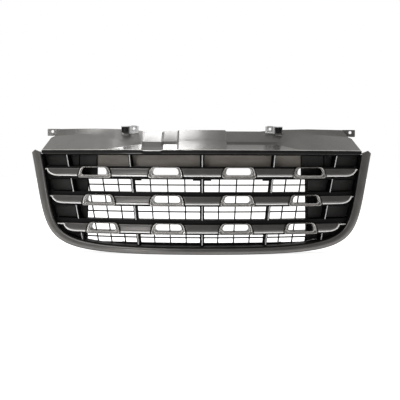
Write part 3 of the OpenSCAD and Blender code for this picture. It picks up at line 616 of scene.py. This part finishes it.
PANEL_HALF = opening_half(RAIL_TOP) - 2
NOTCH = (-191.0, -183.0, -130.0, -122.0)  # outer and inner corners of its sloping sides
LINE_Z = OPENING_H + 4.5
FRONT_Z = OPENING_H + 2.5
RISE_K = (PANEL_RISE - 8) / 66
PAD_EDGE = PAD_HALF + 5
SHELF_END = (195.0, 240.0)  # left and right
CREASE_IN, CREASE_OUT, FACET_END = PANEL_HALF - 265, PANEL_HALF - 192, PANEL_HALF - 214
LEAN_FROM = 350.0
# How far the ends of the panel lean inwards, by height above LINE_Z
END_LEAN = [(0, 0), (38, 11), (46, 27), (70, 42)]
# Rise of the rear edge, by distance from the middle
REAR_RISE = [(0, 64.5), (PAD_HALF, 64.5), (PAD_EDGE, 60.5), (190, 61), (240, 66.5), (350, 70.5),
             (PANEL_HALF, 70.5)]


def panel_section(x):
    """Seven (depth, z) points from the front edge up the facets to the rear edge."""
    a = abs(x)
    n = lookup(x, [(NOTCH[0], 0), (NOTCH[1], 1), (NOTCH[2], 1), (NOTCH[3], 0)])
    flat_end = SHELF_END[0 if x < 0 else 1]

    def d_at(pad, flat, out):
        return lookup(a, [(0, pad), (PAD_HALF, pad), (PAD_EDGE, flat), (flat_end, flat), (FACET_END, out),
                          (PANEL_HALF, out)])

    def f_at(pad, flat, out, end):
        return lookup(a, [(0, pad), (PAD_HALF, pad), (PAD_EDGE, flat), (CREASE_IN, flat), (CREASE_OUT, out),
                          (PANEL_HALF, end)])

    d = Vector((d_at(58, 56, 17) - 20 * n, LINE_Z + RISE_K * d_at(28.5, 16.5, 1.2) - 9 * n))
    f = Vector((f_at(62, 62, 92, 92), LINE_Z + RISE_K * f_at(31.5, 25.5, 54, 46.5)))
    g = Vector((PANEL_DEPTH, LINE_Z + RISE_K * lookup(a, REAR_RISE) - 4.5 * n))
    front = [Vector(p) for p in ((6, RAIL_TOP + 1.5 - 1.5 * n), (5.5, FRONT_Z - 3 * n), (14, LINE_Z - 3 * n))]
    return front + [d, d + 0.86 * (f - d), f, g]


def lean_x(x, z):
    """X once the panel's ends lean inwards."""
    share = max(0, abs(x) - LEAN_FROM) / (PANEL_HALF - LEAN_FROM)
    return x - math.copysign(share * lookup(z - LINE_Z, END_LEAN), x)


def panel_stations():
    def half(shelf_end):
        inner = [0, 25, 50, PAD_HALF, PAD_EDGE, 100, 130, 160, 190, shelf_end]
        outer = [CREASE_IN, (CREASE_IN + FACET_END) / 2, FACET_END, CREASE_OUT, LEAN_FROM]
        return inner + outer + [lerp(370, PANEL_HALF, k / 7) for k in range(8)]

    left = [-x for x in reversed(half(SHELF_END[0])[1:])]
    left = [x for x in left if x < NOTCH[0] - 2] + list(NOTCH) + [x for x in left if x > NOTCH[3] + 2]
    return left + half(SHELF_END[1])


def shut_panel_piece():
    stations = panel_stations()
    recess = range(stations.index(NOTCH[0]), stations.index(NOTCH[3]))
    looks = [PANEL, UNPAINTED_AND_SHADE, RECESS_SHADE, PANEL_EDGE_HIGHLIGHT]

    def look(i, j):
        # The lip's front face is near black as painted shade, and the chamfer above it pale as a painted
        # highlight.
        if j < 2:
            return (1, 3)[j]
        # The notch's lower facets are darker: painted shade in the recess.
        return 2 if i in recess and j < 5 else 0

    shape = Shape()
    shape.grid([[on_face(lean_x(x, z), z, d) for d, z in panel_section(x)] for x in stations], mat=look)
    skin = shape.object("shut_panel_skin", looks, ["shut_panel"], sharp=30)
    bevel = skin.modifiers.new("creases", "BEVEL")
    bevel.width, bevel.segments, bevel.limit_method, bevel.angle_limit = 1.5 * MM, 3, "ANGLE", math.radians(7)
    bevel.use_clamp_overlap = True
    solid = skin.modifiers.new("thickness", "SOLIDIFY")
    solid.thickness, solid.offset = SKIN * MM, -1
    settle(skin, 30)

    parts = Shape()
    outer_y, inner_y = OUTER_TAB_Y - ORIGIN_Y, INNER_TAB_Y - ORIGIN_Y
    z0, z1 = INNER_TAB_Z - TAB_H - TAB_ROOT, INNER_TAB_Z - 1
    for s in (-1, 1):
        x, foot_z = s * OUTER_HOLE_X, OUTER_TAB_Z - TAB_H
        parts.drilled_plate(x, OUTER_TAB_Z - HOLE_DROP, outer_y - TAB_T / 2, outer_y + TAB_T / 2,
                            s * (OUTER_HOLE_X - 5), TAB_W / 2, foot_z, OUTER_TAB_Z, OUTER_HOLE_R)
        lo, hi = sorted((s * (OUTER_HOLE_X - TAB_W / 2 - 23), s * (OUTER_HOLE_X - TAB_W / 2 + 17)))
        parts.box((lo, outer_y - 26, foot_z), (hi, outer_y + 1, foot_z + TAB_T), 0.6)
        # The inner tab and the pocket's top rim take the pale painted highlight.
        x = s * INNER_HOLE_X
        parts.drilled_plate(x, INNER_TAB_Z - HOLE_DROP, inner_y - TAB_T / 2, inner_y + TAB_T / 2, x + s,
                            INNER_TAB_W / 2, z0, INNER_TAB_Z, INNER_HOLE_R, mat=1)
        inner = x + s * (INNER_TAB_W / 2 - 1)
        lo, hi = sorted((inner, inner + s * POCKET_W))
        y0, y1 = inner_y - 8, inner_y + 6
        parts.box((lo, y1 - 3, z0), (hi, y1, z1), 0.7, 2)
        parts.box((lo, y0, z0), (lo + 2.2, y1, z1), 0.6, 0)
        parts.box((hi - 2.2, y0, z0), (hi, y1, z1), 0.6, 0)
        parts.box((lo, y0, z0), (hi, y1, z0 + TAB_ROOT + 2), 0.8, 0)
        parts.box((lo, y0, z1 - 2.2), (hi, y1, z1), 0.6, 1)
    foot = ((RAIL_TOP, 7), (RAIL_TOP, 48), (RAIL_TOP + SKIN, 48), (RAIL_TOP + SKIN, 7))
    foot_x = [lerp(-PANEL_HALF + 3, PANEL_HALF - 3, k / 60) for k in range(61)]
    parts.grid([[on_face(x, z, d) for z, d in foot] for x in foot_x], close_cols=True, caps=True)
    parts.object("shut_panel_fittings", [PANEL, PALE_HIGHLIGHT, TUNNEL], sharp=35)


def settle(obj, sharp):
    """Applies an object's modifiers to its mesh."""
    deps = bpy.context.evaluated_depsgraph_get()
    mesh = bpy.data.meshes.new_from_object(obj.evaluated_get(deps))
    obj.modifiers.clear()
    old, obj.data = obj.data, mesh
    bpy.data.meshes.remove(old)
    mesh.polygons.foreach_set("use_smooth", [True] * len(mesh.polygons))
    mesh.set_sharp_from_angle(angle=math.radians(sharp))


# ---- The rest of the CAD nodes keep their shape and get their finish -------------------------

NODE_FINISH = {
    "carrier_frame": CARRIER, "carrier_ribs": CARRIER, "upper_louvre": CARRIER, "middle_louvre": CARRIER,
    "lower_louvre": CARRIER, "mesh_insert": MESH, "blanking_plate": PLATE, "left_closing_panel": CLOSING,
    "right_closing_panel": CLOSING, "left_spring_nut": ZINC, "right_spring_nut": ZINC,
    "lower_spring_nuts": ZINC}


def finish_nodes():
    for name, node in frame["nodes"].items():
        look = NODE_FINISH.get(name, SCREW if name.endswith("screws") else None)
        if look is None:
            continue
        if not node.material_slots:
            node.data.materials.append(look)
        for place in node.material_slots:
            place.material = look


# ---- Floor, lights and camera --------------------------------------------------------------

SKY_AXIS = (-0.3, 0.85, 0.43)
SKY_FROM, SKY_TO = -0.35, 0.85
SKY_LOW, SKY_HIGH = 0.11, 0.75
FLOOR_GLOW = 0.8
CAMERA_YAW, CAMERA_PITCH, CAMERA_ROLL = 0.54, 3.1536037960109353, 0.2
CAMERA_DISTANCE, CAMERA_X, CAMERA_Z = 2.2, -0.028, 0.290
SENSOR_MM, LENS_MM = 36, 65.34


def floor():
    shape = Shape()
    reach, n = 9000.0, 12
    shape.grid([[Vector((lerp(-reach, reach, a / n), lerp(-reach, reach, b / n), -0.3)) for a in range(n + 1)]
                for b in range(n + 1)])
    mesh = bpy.data.meshes.new("floor")
    mesh.from_pydata([v * MM for v in shape.verts], [], shape.faces)
    pale = material("floor_pale", grey(0.86), grey(0.88), 0.7, specular=0.1, scale=2, grain=60, bump=0.0)
    shader = pale.node_tree.nodes["Principled BSDF"]
    shader.inputs["Emission Color"].default_value = (1, 1, 1, 1)
    shader.inputs["Emission Strength"].default_value = FLOOR_GLOW
    mesh.materials.append(pale)
    obj = bpy.data.objects.new("floor", mesh)
    bpy.context.scene.collection.objects.link(obj)


def area_light(name, at, to, size, power):
    data = bpy.data.lights.new(name, "AREA")
    data.shape, data.size, data.size_y, data.energy = "RECTANGLE", size[0], size[1], power
    obj = bpy.data.objects.new(name, data)
    obj.location = at
    obj.rotation_euler = (Vector(to) - Vector(at)).to_track_quat("-Z", "Y").to_euler()
    bpy.context.scene.collection.objects.link(obj)


def world():
    """White to the camera. Everything else is lit from above and behind, and less from the front."""
    w = bpy.data.worlds.new("studio")
    w.use_nodes = True
    bpy.context.scene.world = w
    nodes, links = w.node_tree.nodes, w.node_tree.links
    nodes.clear()
    kinds = ("OutputWorld", "Background", "Background", "MixShader", "LightPath", "TexCoord", "VectorMath",
             "MapRange")
    out, seen, lit, mix, path, place, along, spread = (nodes.new(f"ShaderNode{kind}") for kind in kinds)
    seen.inputs["Color"].default_value = (1, 1, 1, 1)
    lit.inputs["Color"].default_value = (1, 0.99, 0.965, 1)
    along.operation = "DOT_PRODUCT"
    along.inputs[1].default_value = SKY_AXIS
    links.new(place.outputs["Generated"], along.inputs[0])
    links.new(along.outputs["Value"], spread.inputs["Value"])
    spread.inputs["From Min"].default_value = SKY_FROM
    spread.inputs["From Max"].default_value = SKY_TO
    spread.inputs["To Min"].default_value = SKY_LOW
    spread.inputs["To Max"].default_value = SKY_HIGH
    links.new(spread.outputs["Result"], lit.inputs["Strength"])
    links.new(path.outputs["Is Camera Ray"], mix.inputs["Fac"])
    links.new(lit.outputs["Background"], mix.inputs[1])
    links.new(seen.outputs["Background"], mix.inputs[2])
    links.new(mix.outputs["Shader"], out.inputs["Surface"])


def camera():
    yaw, pitch, roll = (math.radians(a) for a in (CAMERA_YAW, CAMERA_PITCH, CAMERA_ROLL))
    ahead = Vector((math.sin(yaw) * math.cos(pitch), math.cos(yaw) * math.cos(pitch), -math.sin(pitch)))
    right = ahead.cross(Vector((0, 0, 1))).normalized()
    up = right.cross(ahead)
    cos, sin = math.cos(roll), math.sin(roll)
    right, up = right * cos + up * sin, up * cos - right * sin
    data = bpy.data.cameras.new("camera")
    data.sensor_width, data.lens = SENSOR_MM, LENS_MM
    obj = bpy.data.objects.new("camera", data)
    turn = Matrix((right, up, -ahead)).transposed().to_4x4()
    obj.matrix_world = Matrix.Translation((CAMERA_X, -CAMERA_DISTANCE - ORIGIN_Y * MM, CAMERA_Z)) @ turn
    bpy.context.scene.collection.objects.link(obj)
    bpy.context.scene.camera = obj


surround_piece()
for bar in range(3):
    bar_blades(bar)
    for number in range(4):
        bezel_piece(bar, number)
rib_noses()
shut_panel_piece()
finish_nodes()
floor()
area_light("softbox_top", (-0.9, -0.6, 2.2), (0, 0, 0.25), (1.2, 0.8), 10)
area_light("softbox_rear", (-0.325, 1.41, 2.14), (0, 0, 0.35), (0.5, 1.1), 13)
area_light("softbox_side", (-0.95, 0.62, 2.15), (-0.3, 0, 0.35), (0.4, 0.5), 3)
area_light("softbox_front", (-1.3, -2.6, 0.8), (-0.2, 0, 0.3), (0.45, 1.0), 9)
world()
camera()
bpy.context.scene.view_settings.view_transform = "Standard"
